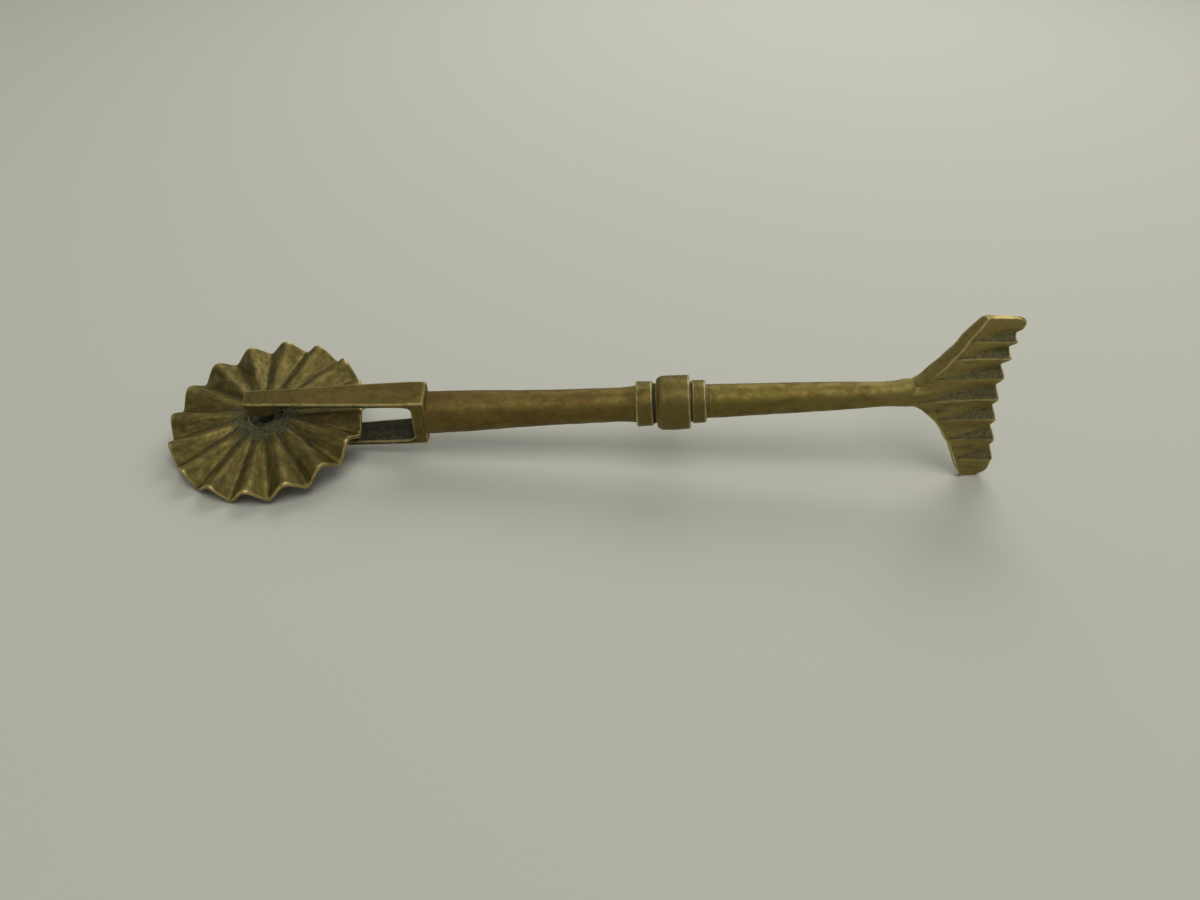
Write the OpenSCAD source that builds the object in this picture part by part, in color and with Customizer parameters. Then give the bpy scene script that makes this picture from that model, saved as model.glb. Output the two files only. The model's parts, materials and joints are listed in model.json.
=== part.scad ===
// Brass pastry jigger: a fluted crimping wheel that turns on a rivet between the tines
// of a fork, a turned handle with a three-step collar, and a fishtail crimper.
// Millimetres. The tool lies as it rests on a table, with the table at Z = 0.
// Sub-parts are drawn about the wheel's centre: x runs along the handle to the tail,
// y across it, z along the rivet. lying() then puts the whole tool on the table.

/* [Crimping wheel] */
// Outer diameter of the wheel
wheel_d = 37; // [34:0.5:38]
// Number of flutes round the rim
flutes = 16; // [12:1:20]
// Height of the flutes at the rim, from mid-thickness to a crest
flute_h = 1.55; // [1:0.05:1.7]
// Thickness of the wheel at the rim
rim_t = 0.9; // [0.6:0.1:1.2]
// Thickness of the wheel at the hub
hub_t = 2.8; // [2.4:0.1:3]
// Diameter of the flat round the hole
hub_d = 8.6; // [8:0.1:10]
// Diameter of the hole's worn mouth
mouth_d = 6.5; // [5:0.1:6.6]
// Depth of the worn mouth, on each face
mouth_depth = 0.9; // [0.4:0.1:1.1]
// Angle of the first crest from the handle's line
flute_turn = -0.5; // [-11:0.5:11]

/* [Rivet] */
// Diameter of the rivet that the wheel turns on
rivet_d = 2.6; // [2.2:0.1:2.8]
// Gap between rivet and wheel, on the radius
rivet_play = 0.05; // [0.02:0.01:0.1]
// Diameter of the rivet's peened ends
peen_d = 3.2; // [3:0.1:3.4]
// Depth of the countersinks that the ends are peened into
peen_t = 0.5; // [0.3:0.1:0.8]

/* [Fork] */
// Distance from the rivet to the back of the fork
fork_back = 30; // [26:0.5:34]
// Distance from the rivet to the end of the slot
slot_end = 27.3; // [22:0.1:31]
// Distance from the rivet to the tips of the tines
tip_reach = 2.9; // [2.6:0.1:4]
// Width of the fork at its back
fork_w = 5.8; // [4.5:0.1:7]
// Width of the tines at their tips
tip_w = 3.6; // [3.4:0.1:5]
// Height of the fork over both tines at its back
back_h = 11.3; // [10.5:0.1:13]
// Height of the fork over both tines at the tips
tip_h = 12.5; // [12:0.1:14]
// Thickness of a tine
tine_t = 1.1; // [0.8:0.1:1.5]
// Thickness of the lug at a tine's tip
lug_t = 3.6; // [3:0.1:4]
// Distance from the rivet to where the lug starts to thin
lug_end = 2.1; // [2:0.1:4]

/* [Handle] */
// Diameter of the front shaft at the fork
front_d = 7.9; // [6:0.1:9]
// Diameter of the front shaft at the collar
front_end_d = 6.4; // [5.6:0.1:8]
// Distance from the rivet to the collar
collar_x = 69.6; // [60:0.5:80]
// Length and diameter of the front ring
front_ring = [3, 8.3]; // [2:0.1:10]
// Length and diameter of the centre band
band = [6, 10.1]; // [4:0.1:12]
// Length and diameter of the rear ring
rear_ring = [2.5, 7.9]; // [2:0.1:10]
// Length and diameter of the groove in front of the band
front_groove = [0.8, 7.3]; // [0.4:0.1:8]
// Length and diameter of the groove behind the band
rear_groove = [0.4, 7.3]; // [0.4:0.1:8]
// Diameter of the rear shaft at the collar
rear_d = 6.2; // [5.6:0.1:7]
// Diameter of the rear shaft three quarters of the way along
rear_mid_d = 5.2; // [4.6:0.1:6]
// Diameter of the rear shaft at the tail
neck_d = 4.4; // [4:0.1:5]
// Diameter of the spigot inside the collar
spigot_d = 3.6; // [3:0.1:4]
// How far the spigot reaches into the rear shaft
spigot_in = 6; // [4:0.5:10]

/* [Fishtail crimper] */
// Distance from the rivet to the root of the fishtail
tail_x = 118.9; // [110:0.5:125]
// Distance from the rivet to the middle of the crimping edge
edge_x = 133.8; // [130:0.1:138]
// Hollow of the crimping edge on the near arm, per square millimetre off the middle
edge_hollow = 0.006; // [0:0.001:0.01]
// Hollow of the crimping edge on the far arm, per square millimetre off the middle
far_hollow = 0.011; // [0:0.001:0.014]
// How far the back of the far arm stands out past its front, as a bevel
far_bevel = 1.4; // [0:0.1:2]
// Reach of the far arm, from the handle's axis
far_reach = 16.3; // [14:0.1:18]
// Reach of the near arm, from the handle's axis
near_reach = 19.2; // [16:0.1:20]
// Pitch of the first corrugation, at the far tip
pitch_far = 4; // [3.8:0.05:4.1]
// Growth of the pitch from each corrugation to the next
pitch_step = 0.13; // [0.1:0.01:0.14]
// Depth of the corrugation at the crimping edge, crest to valley
wave_h = 1.4; // [0.8:0.1:1.8]
// Thickness of the plate at its root
root_t = 3.4; // [2.6:0.1:4]
// Thickness of the plate at the crimping edge
edge_t = 1.1; // [0.8:0.1:1.6]
// How far the plate leans off the handle's axis at the edge
lean = 1.1; // [0:0.1:2]
// Angle of the plate about the handle, from the wheel's plane
tail_turn = 78; // [70:1:90]

/* [How it lies] */
// Roll about the handle that brings the wheel's near rim to the table
roll = 14.3; // [0:0.1:20]
// Pitch that brings the fishtail's near tip to the table
pitch = 5.5; // [0:0.1:8]

/* [Hidden] */
$fn = 96;

LENGTH = 0;
DIAM = 1;
eps = 0.01;
wheel_r = wheel_d / 2;
bore_d = rivet_d + 2 * rivet_play;
steps_per_flute = 6;
wheel_rings = 4;
crest_round = 0.82;

tine_slope = (tip_h - back_h) / 2 / (fork_back + tip_reach);
rivet_top = tip_h / 2 - tine_slope * (tip_reach + peen_d / 2) - 0.02;
blend_l = 2.2;
tenon_d = 3.6;

front_ring_x = collar_x;
band_x = front_ring_x + front_ring[LENGTH] + front_groove[LENGTH];
rear_ring_x = band_x + band[LENGTH];
rear_x = rear_ring_x + rear_groove[LENGTH] + rear_ring[LENGTH];
flare_l = 1.6;
ring_edge = 0.4;
rear_mid_x = rear_x + 0.66 * (tail_x - rear_x);

tang_d = 2.4;
tang_l = 6;
waves = 8;
tail_rows = 9;
root_half = 2;

// The tool's box: its middle along the table, and the height of the wheel's centre.
mid_x = 59.3;
mid_y = -0.15;
lift = wheel_r * cos(180 / flutes) * sin(roll) * cos(pitch)
     + (flute_h + rim_t / 2) * cos(roll) * cos(pitch)
     + wheel_r * sin(180 / flutes) * sin(pitch) + eps;

function mix(a, b, t) = a + (b - a) * t;
function clamp01(t) = min(1, max(0, t));
function ease(t) = t * t * (3 - 2 * t);

module lying() {
    translate([-mid_x, -mid_y, lift]) rotate([0, -pitch, 0]) rotate([roll, 0, 0]) children();
}

// A solid turned about the handle's axis, from points [distance along x, radius].
module turned(points) {
    rotate([0, 90, 0]) rotate_extrude() polygon([for (p = points) [p[1], p[0]]]);
}

// A closed sheet between two grids of points: rows of equal length, wrapped or not.
module sheet(top, bottom, wrap) {
    rows = len(top);
    cols = len(top[0]);
    last = wrap ? cols : cols - 1;
    half = rows * cols;
    points = concat([for (row = top) for (p = row) p], [for (row = bottom) for (p = row) p]);
    function at(i, j) = i * cols + j % cols;
    faces = concat(
        [for (i = [0:rows - 2]) for (j = [0:last - 1])
            for (f = [[at(i, j), at(i, j + 1), at(i + 1, j)],
                      [at(i + 1, j), at(i, j + 1), at(i + 1, j + 1)]]) f],
        [for (i = [0:rows - 2]) for (j = [0:last - 1])
            for (f = [[half + at(i, j), half + at(i + 1, j), half + at(i, j + 1)],
                      [half + at(i + 1, j), half + at(i + 1, j + 1), half + at(i, j + 1)]]) f],
        [for (j = [0:last - 1]) for (f = [[at(0, j), half + at(0, j), at(0, j + 1)],
                      [half + at(0, j), half + at(0, j + 1), at(0, j + 1)]]) f],
        [for (j = [0:last - 1])
            for (f = [[at(rows - 1, j), at(rows - 1, j + 1), half + at(rows - 1, j)],
                      [half + at(rows - 1, j), at(rows - 1, j + 1), half + at(rows - 1, j + 1)]]) f],
        wrap ? [] : [for (i = [0:rows - 2]) for (f = [[at(i, 0), at(i + 1, 0), half + at(i, 0)],
                      [at(i + 1, 0), half + at(i + 1, 0), half + at(i, 0)]]) f],
        wrap ? [] : [for (i = [0:rows - 2])
            for (f = [[at(i, last), half + at(i, last), at(i + 1, last)],
                      [at(i + 1, last), half + at(i, last), half + at(i + 1, last)]]) f]);
    polyhedron(points, faces, convexity = 10);
}

// Rounded zigzag: +1 on a crest, -1 in a valley, straight flanks between.
function zigzag(turns) = asin(crest_round * cos(360 * turns)) / asin(crest_round);

module crimp_wheel() {
    inner_r = hub_d / 2 - 0.6;
    n = flutes * steps_per_flute;
    function grow(r) = clamp01((r - hub_d / 2 + 0.4) / (wheel_r - hub_d / 2 + 0.4));
    function thick(r) = mix(hub_t, rim_t, grow(r));
    function point(r, i, side) = let (a = flute_turn + 360 * i / n)
        [r * cos(a), r * sin(a), flute_h * grow(r) * zigzag(i / steps_per_flute) + side * thick(r) / 2];
    radii = [for (k = [0:wheel_rings]) mix(inner_r, wheel_r, k / wheel_rings)];
    color("darkgoldenrod") difference() {
        union() {
            sheet([for (r = radii) [for (i = [0:n - 1]) point(r, i, 1)]],
                  [for (r = radii) [for (i = [0:n - 1]) point(r, i, -1)]], true);
            cylinder(d = hub_d, h = hub_t, center = true);
        }
        cylinder(d = bore_d, h = 2 * hub_t, center = true);
        for (side = [0, 1]) mirror([0, 0, side])
            translate([0, 0, hub_t / 2 - mouth_depth])
                cylinder(d1 = bore_d, d2 = mouth_d, h = mouth_depth + eps);
    }
}

module rivet_solid() {
    rotate_extrude() polygon([[0, -rivet_top], [peen_d / 2, -rivet_top],
        [rivet_d / 2, -rivet_top + peen_t], [rivet_d / 2, rivet_top - peen_t],
        [peen_d / 2, rivet_top], [0, rivet_top]]);
}

module axle_rivet() {
    color("peru") rivet_solid();
}

// The fork's side outline above the handle's axis, from its back to the end of the slot.
function fork_side() = let (
        tip = tip_h / 2,
        in_tip = tip - lug_t,
        blend_x = lug_end + blend_l,
        in_blend = tip - tine_slope * (tip_reach + blend_x) - tine_t,
        in_back = back_h / 2 + tine_slope * (fork_back - slot_end) - tine_t,
        corner = 1)
    concat([[fork_back, back_h / 2], [-tip_reach, tip], [-tip_reach, in_tip]],
        [for (a = [0:15:90]) [mix(lug_end, blend_x, sin(a)), mix(in_blend, in_tip, cos(a))]],
        [for (a = [0:30:90]) [slot_end - corner + corner * sin(a), in_back - corner + corner * cos(a)]]);

module fork() {
    upper = fork_side();
    color("darkgoldenrod") difference() {
        intersection() {
            translate([0, fork_w, 0]) rotate([90, 0, 0]) linear_extrude(2 * fork_w)
                polygon(concat(upper, [for (i = [len(upper) - 1:-1:0]) [upper[i][0], -upper[i][1]]]));
            linear_extrude(2 * tip_h, center = true)
                polygon([[fork_back, -fork_w / 2], [fork_back, fork_w / 2], [slot_end - 2, fork_w / 2],
                         [-tip_reach, tip_w / 2], [-tip_reach, -tip_w / 2], [slot_end - 2, -fork_w / 2]]);
        }
        rivet_solid();
        for (side = [0, 1]) mirror([0, 0, side])
            translate([0, 0, rivet_top - eps]) cylinder(d = peen_d, h = 1);
        translate([slot_end - 1, 0, 0]) rotate([0, 90, 0])
            cylinder(d = tenon_d, h = fork_back - slot_end + 2);
    }
}

module front_shaft() {
    color("darkgoldenrod") turned([[slot_end, 0], [slot_end, tenon_d / 2], [fork_back, tenon_d / 2],
        [fork_back, front_d / 2], [collar_x - flare_l, front_end_d / 2],
        [collar_x, front_end_d / 2 + 0.3], [collar_x, spigot_d / 2],
        [rear_x + spigot_in, spigot_d / 2], [rear_x + spigot_in, 0]]);
}

// A collar ring bored for the spigot, with eased edges. size is [length, diameter].
module ring(x, size) {
    l = size[LENGTH];
    r = size[DIAM] / 2;
    turned([[x, spigot_d / 2], [x, r - ring_edge], [x + ring_edge, r],
            [x + l - ring_edge, r], [x + l, r - ring_edge], [x + l, spigot_d / 2]]);
}

// A plain groove step beside the band.
module groove(x, size) {
    turned([[x, spigot_d / 2], [x, size[DIAM] / 2],
            [x + size[LENGTH], size[DIAM] / 2], [x + size[LENGTH], spigot_d / 2]]);
}

module collar_front_ring() {
    color("goldenrod") {
        ring(front_ring_x, front_ring);
        groove(front_ring_x + front_ring[LENGTH], front_groove);
    }
}

module collar_band() {
    color("gold") ring(band_x, band);
}

module collar_rear_ring() {
    color("goldenrod") {
        groove(rear_ring_x, rear_groove);
        ring(rear_ring_x + rear_groove[LENGTH], rear_ring);
    }
}

module rear_shaft() {
    color("darkgoldenrod") turned([[rear_x, spigot_d / 2], [rear_x, rear_d / 2],
        [rear_mid_x, rear_mid_d / 2], [tail_x, neck_d / 2], [tail_x, tang_d / 2],
        [tail_x - tang_l, tang_d / 2], [tail_x - tang_l, 0], [rear_x + spigot_in, 0],
        [rear_x + spigot_in, spigot_d / 2]]);
}

// Crest k counts from the far tip. The last one would lie beyond the near tip.
function crest_s(k) = far_reach - k * (pitch_far + pitch_step * k / 2);
function edge_at(s) = edge_x + (s > 0 ? far_hollow : edge_hollow) * s * s;
// The plate's inner outline: an easy slope on the far arm, a tight hollow on the near one.
function inner_at(s) = s > root_half
    ? tail_x + 11.1 * pow((s - root_half) / (far_reach - root_half), 0.7)
    : s < -root_half ? tail_x + 10.8 * pow((-s - root_half) / (near_reach - root_half), 0.5)
    : tail_x;
// The bevel fades out at the root and at the far tip.
function bevel_at(s) = far_bevel * clamp01((s - root_half) / 2) * clamp01((far_reach - s) / 1.5);

module fishtail_crimper() {
    // Crests keep their place; a valley starts beside the next crest and widens to half-way.
    function column_s(c, t) = let (k = floor(c / 2))
        c % 2 == 0 ? crest_s(k)
        : c == 2 * waves - 1 ? -near_reach
        : mix(crest_s(k + 1), crest_s(k), 0.5 * (0.2 + 0.8 * t));
    function at(c, r, side) = let (
            t = r / tail_rows,
            s = column_s(c, t),
            x = mix(inner_at(s) - (side < 0 ? bevel_at(s) : 0), edge_at(s), t),
            along = clamp01((x - tail_x) / (edge_x - tail_x)),
            wave = (c % 2 == 0 ? 0.5 : -0.5) * wave_h * pow(t, 1.2))
        [x, s, lean * along + wave + side * mix(root_t, edge_t, along) / 2];
    cols = [0:2 * waves - 1];
    color("goldenrod") rotate([tail_turn, 0, 0]) {
        sheet([for (c = cols) [for (r = [0:tail_rows]) at(c, r, 1)]],
              [for (c = cols) [for (r = [0:tail_rows]) at(c, r, -1)]], false);
        rotate([-tail_turn, 0, 0]) turned([[tail_x - tang_l, 0], [tail_x - tang_l, tang_d / 2],
            [tail_x, tang_d / 2], [tail_x, neck_d / 2], [tail_x + 1.6, neck_d / 2 - 0.1],
            [tail_x + 5, 0]]);
    }
}

lying() crimp_wheel();
lying() axle_rivet();
lying() fork();
lying() front_shaft();
lying() collar_front_ring();
lying() collar_band();
lying() collar_rear_ring();
lying() rear_shaft();
lying() fishtail_crimper();
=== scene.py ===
"""An aged brass pastry jigger lying on a pale floor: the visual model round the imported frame."""
import json
import math

import bmesh
import bpy
import numpy as np
from mathutils import Euler, Matrix, Vector, noise


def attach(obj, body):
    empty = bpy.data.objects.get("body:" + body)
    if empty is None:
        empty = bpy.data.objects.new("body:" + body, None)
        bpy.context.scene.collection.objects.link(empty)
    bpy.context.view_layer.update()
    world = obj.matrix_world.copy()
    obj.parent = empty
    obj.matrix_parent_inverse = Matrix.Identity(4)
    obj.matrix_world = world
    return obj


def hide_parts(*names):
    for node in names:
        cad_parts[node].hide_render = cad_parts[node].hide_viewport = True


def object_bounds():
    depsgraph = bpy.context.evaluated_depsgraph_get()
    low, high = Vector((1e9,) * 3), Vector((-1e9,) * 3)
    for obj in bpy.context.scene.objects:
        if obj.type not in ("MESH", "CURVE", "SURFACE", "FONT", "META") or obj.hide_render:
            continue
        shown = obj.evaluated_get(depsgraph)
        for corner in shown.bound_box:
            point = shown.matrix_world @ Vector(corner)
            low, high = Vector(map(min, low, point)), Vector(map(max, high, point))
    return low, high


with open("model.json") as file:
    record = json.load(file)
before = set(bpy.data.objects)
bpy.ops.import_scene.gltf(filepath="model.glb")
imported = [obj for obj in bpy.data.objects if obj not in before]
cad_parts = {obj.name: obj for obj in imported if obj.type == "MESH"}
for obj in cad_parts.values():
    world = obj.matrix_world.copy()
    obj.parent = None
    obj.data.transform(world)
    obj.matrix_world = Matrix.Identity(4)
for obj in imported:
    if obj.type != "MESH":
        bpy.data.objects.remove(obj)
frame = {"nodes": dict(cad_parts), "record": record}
cad_box = [list(corner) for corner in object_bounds()]
record = frame["record"]

MM = 0.001
TAU = 2 * math.pi
CORNER_R = 0.2

# ---------------------------------------------------------------- the tool's own axes
# Local millimetres: x along the handle to the tail, y across, z along the rivet.
spin = record["behaviour"]["joints"][0]
mounts = {m["name"]: m for m in record["mounts"]}
axle_dir = Vector(spin["axis"]).normalized()
handle_dir = Vector(mounts["grip"]["axis"]).normalized()
across_dir = axle_dir.cross(handle_dir).normalized()
PLACE = Matrix.Translation(spin["pos_m"]) @ Matrix((handle_dir, across_dir, axle_dir)).transposed().to_4x4()
PLACE = PLACE @ Matrix.Scale(MM, 4)
TO_LOCAL = PLACE.inverted()


def local_box(node):
    """Lowest and highest corner of a CAD node, in local millimetres."""
    points = np.array([TO_LOCAL @ v.co for v in frame["nodes"][node].data.vertices])
    return points.min(0), points.max(0)


def span(node, axis=0):
    low, high = local_box(node)
    return float(low[axis]), float(high[axis])


# ---------------------------------------------------------------- small helpers
def mix(a, b, t):
    return a + (b - a) * t


def clamp01(t):
    return min(1.0, max(0.0, t))


def ease(t):
    t = clamp01(t)
    return t * t * (3 - 2 * t)


def wobble(x, y=0.0, z=0.0, scale=1.0):
    """Smooth noise from -1 to 1, the same on each run."""
    return noise.noise(Vector((x, y, z)) * scale)


def eased(points, radius):
    """An outline with its inner corners rounded. points are (x, r) or (x, r, own radius)."""
    steps = 4
    out = [tuple(points[0][:2])]
    for before, here, after in zip(points, points[1:], points[2:]):
        own = here[2] if len(here) > 2 else radius
        p, a, b = (Vector(q[:2]) for q in (here, before, after))
        to_a, to_b = a - p, b - p
        cut = min(own, 0.48 * to_a.length, 0.48 * to_b.length)
        start, end = p + to_a.normalized() * cut, p + to_b.normalized() * cut
        for k in range(steps + 1):
            t = k / steps
            q = start * (1 - t) ** 2 + p * 2 * t * (1 - t) + end * t ** 2
            out.append((q.x, q.y))
    out.append(tuple(points[-1][:2]))
    return out


def refined(points, longest):
    """The same outline with no step longer than that."""
    out = [points[0]]
    for a, b in zip(points, points[1:]):
        n = max(1, math.ceil(math.dist(a, b) / longest))
        out += [(mix(a[0], b[0], k / n), mix(a[1], b[1], k / n)) for k in range(1, n + 1)]
    return out


def spaced(points, count):
    """count + 1 points at even steps along a line."""
    length = [0.0]
    for a, b in zip(points, points[1:]):
        length.append(length[-1] + math.dist(a, b))
    out, k = [], 0
    for i in range(count + 1):
        want = length[-1] * i / count
        while k < len(points) - 2 and length[k + 1] < want:
            k += 1
        t = (want - length[k]) / max(1e-9, length[k + 1] - length[k])
        out.append((mix(points[k][0], points[k + 1][0], t), mix(points[k][1], points[k + 1][1], t)))
    return out


def grid_faces(rows, cols, wrap_rows=False, wrap_cols=False):
    """Four-sided faces over rows of cols vertices, closed round either way where asked."""
    faces = []
    for i in range(rows if wrap_rows else rows - 1):
        for j in range(cols if wrap_cols else cols - 1):
            i2, j2 = (i + 1) % rows, (j + 1) % cols
            faces.append((i * cols + j, i * cols + j2, i2 * cols + j2, i2 * cols + j))
    return faces


def curvature(mesh, rounds):
    """How convex (+) or hollow (-) the surface is at each vertex, per millimetre, smoothed."""
    n = len(mesh.vertices)
    co = np.empty(n * 3)
    mesh.vertices.foreach_get("co", co)
    co = co.reshape(-1, 3) / MM
    normals = np.empty(n * 3)
    mesh.vertex_normals.foreach_get("vector", normals)
    normals = normals.reshape(-1, 3)
    edges = np.empty(len(mesh.edges) * 2, dtype=np.int64)
    mesh.edges.foreach_get("vertices", edges)
    a, b = edges.reshape(-1, 2).T
    d = co[b] - co[a]
    length2 = np.maximum((d * d).sum(1), 1e-6)
    total, count = np.zeros(n), np.zeros(n)
    for p, q, sign in ((a, b, 1), (b, a, -1)):
        np.add.at(total, p, -2 * sign * (normals[p] * d).sum(1) / length2)
        np.add.at(count, p, 1)
    value = total / np.maximum(count, 1)
    for _ in range(rounds):
        spread = np.zeros(n)
        np.add.at(spread, a, value[b])
        np.add.at(spread, b, value[a])
        value = 0.5 * value + 0.5 * spread / np.maximum(count, 1)
    return value


def piece(name, verts, faces, material, body, nodes, extra=None, smooth_angle=38, rounds=2,
          hidden_seam=None, flow=None):
    """A piece from vertices in local millimetres and faces. extra says how dirty a point is, painted shade
    included, hidden_seam where no wear or dirt from its curve is wanted, flow which way the marks in the
    metal run. rounds spreads the measured curve, and folds sharper than smooth_angle stay sharp."""
    bm = bmesh.new()
    made = [bm.verts.new(v) for v in verts]
    for face in faces:
        bm.faces.new([made[i] for i in face])
    bmesh.ops.remove_doubles(bm, verts=bm.verts, dist=1e-4)
    bmesh.ops.triangulate(bm, faces=[f for f in bm.faces if len(f.verts) > 4])
    bmesh.ops.recalc_face_normals(bm, faces=bm.faces)
    bm.transform(PLACE)
    mesh = bpy.data.meshes.new(name)
    bm.to_mesh(mesh)
    bm.free()
    mesh.polygons.foreach_set("use_smooth", [True] * len(mesh.polygons))
    mesh.set_sharp_from_angle(angle=math.radians(smooth_angle))
    n = len(mesh.vertices)
    local = np.array([TO_LOCAL @ v.co for v in mesh.vertices])
    bend = curvature(mesh, rounds)
    if hidden_seam:
        bend *= np.array([1 - hidden_seam(*p) for p in local])
    for key, values in (("edge", np.clip(bend, 0, 6)), ("hollow", np.clip(-bend, 0, 6)),
                        ("grime_and_shade", np.array([extra(*p) for p in local]) if extra else np.zeros(n))):
        layer = mesh.attributes.new(key, "FLOAT", "POINT")
        layer.data.foreach_set("value", values.astype(np.float32))
    streams = np.array([flow(*p) for p in local]) if flow else local
    for key, values in (("loc", local), ("flow", streams)):
        layer = mesh.attributes.new(key, "FLOAT_VECTOR", "POINT")
        layer.data.foreach_set("vector", values.astype(np.float32).ravel())
    obj = bpy.data.objects.new(name, mesh)
    bpy.context.scene.collection.objects.link(obj)
    mesh.materials.append(material)
    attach(obj, body)
    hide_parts(*nodes)


def turned(name, outline, step, material, nodes, extra, rough=0.05, hidden_seam=None, swell=None):
    """A lathe piece along the handle from an (x, r) outline, which is rounded and cut into steps. rough is
    how uneven the hand-work is, and swell adds to the radius at (x, angle)."""
    segments = 112
    outline = refined(eased(outline, CORNER_R), step)
    verts = []
    for x, r in outline:
        for k in range(segments):
            a = TAU * k / segments
            c, s = math.cos(a), math.sin(a)
            hand = wobble(x, 3 * c, 3 * s, 0.45) + 0.4 * wobble(x + 40, 3 * c, 3 * s, 1.3)
            rr = r + rough * min(1, r) * hand
            rr += swell(x, a) * min(1, r / 2) if swell else 0.0
            verts.append((x, rr * c, rr * s))
    faces = grid_faces(len(outline), segments, wrap_cols=True)
    faces += [tuple(range(segments)), tuple(reversed(range(len(verts) - segments, len(verts))))]
    piece(name, verts, faces, material, "handle", nodes, extra, hidden_seam=hidden_seam)


# ---------------------------------------------------------------- materials
def shader_nodes(name):
    """A new material, its node tree and its shader."""
    mat = bpy.data.materials.new(name)
    mat.use_nodes = True
    tree = mat.node_tree
    return mat, tree, tree.nodes["Principled BSDF"]


class Nodes:
    """Short calls that add linked shader nodes to one tree."""

    def __init__(self, tree):
        self.tree = tree

    def add(self, kind, **settings):
        node = self.tree.nodes.new(kind)
        for key, value in settings.items():
            setattr(node, key, value)
        return node

    def put(self, socket, value):
        if isinstance(value, bpy.types.NodeSocket):
            self.tree.links.new(value, socket)
        else:
            socket.default_value = value

    def attribute(self, name, output="Fac"):
        return self.add("ShaderNodeAttribute", attribute_name=name).outputs[output]

    def math(self, operation, a, b):
        node = self.add("ShaderNodeMath", operation=operation)
        self.put(node.inputs[0], a)
        self.put(node.inputs[1], b)
        return node.outputs[0]

    def noise(self, where, scale, detail=4.0, roughness=0.55, distortion=0.0):
        node = self.add("ShaderNodeTexNoise")
        self.put(node.inputs["Vector"], where)
        for key, value in (("Scale", scale), ("Detail", detail), ("Roughness", roughness),
                           ("Distortion", distortion)):
            node.inputs[key].default_value = value
        return node.outputs["Fac"]

    def stretch(self, where, scale):
        node = self.add("ShaderNodeMapping")
        self.put(node.inputs["Vector"], where)
        node.inputs["Scale"].default_value = scale
        return node.outputs["Vector"]

    def part(self, vector, name):
        node = self.add("ShaderNodeSeparateXYZ")
        self.put(node.inputs[0], vector)
        return node.outputs[name]

    def ramp(self, value, low, high, start=0.0, end=1.0):
        node = self.add("ShaderNodeMapRange", clamp=True, interpolation_type="SMOOTHSTEP")
        self.put(node.inputs["Value"], value)
        for key, number in (("From Min", low), ("From Max", high), ("To Min", start), ("To Max", end)):
            node.inputs[key].default_value = number
        return node.outputs["Result"]

    def blend(self, amount, a, b):
        node = self.add("ShaderNodeMix", data_type="RGBA")
        self.put(node.inputs["Factor"], amount)
        self.put(node.inputs[6], a)
        self.put(node.inputs[7], b)
        return node.outputs[2]

    def lerp(self, amount, a, b):
        node = self.add("ShaderNodeMix", data_type="FLOAT")
        self.put(node.inputs["Factor"], amount)
        self.put(node.inputs[2], a)
        self.put(node.inputs[3], b)
        return node.outputs[0]


# The metal, clean to worn, what lies on it, and the dark tone that also paints shade.
BRASS = (0.205, 0.160, 0.047, 1)
TARNISH = (0.110, 0.086, 0.026, 1)
BROWN = (0.150, 0.082, 0.026, 1)
GRIME_AND_SHADE = (0.034, 0.032, 0.015, 1)
DUST = (0.118, 0.114, 0.056, 1)
VERDIGRIS = (0.100, 0.104, 0.056, 1)
WORN = (0.680, 0.530, 0.220, 1)


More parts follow.
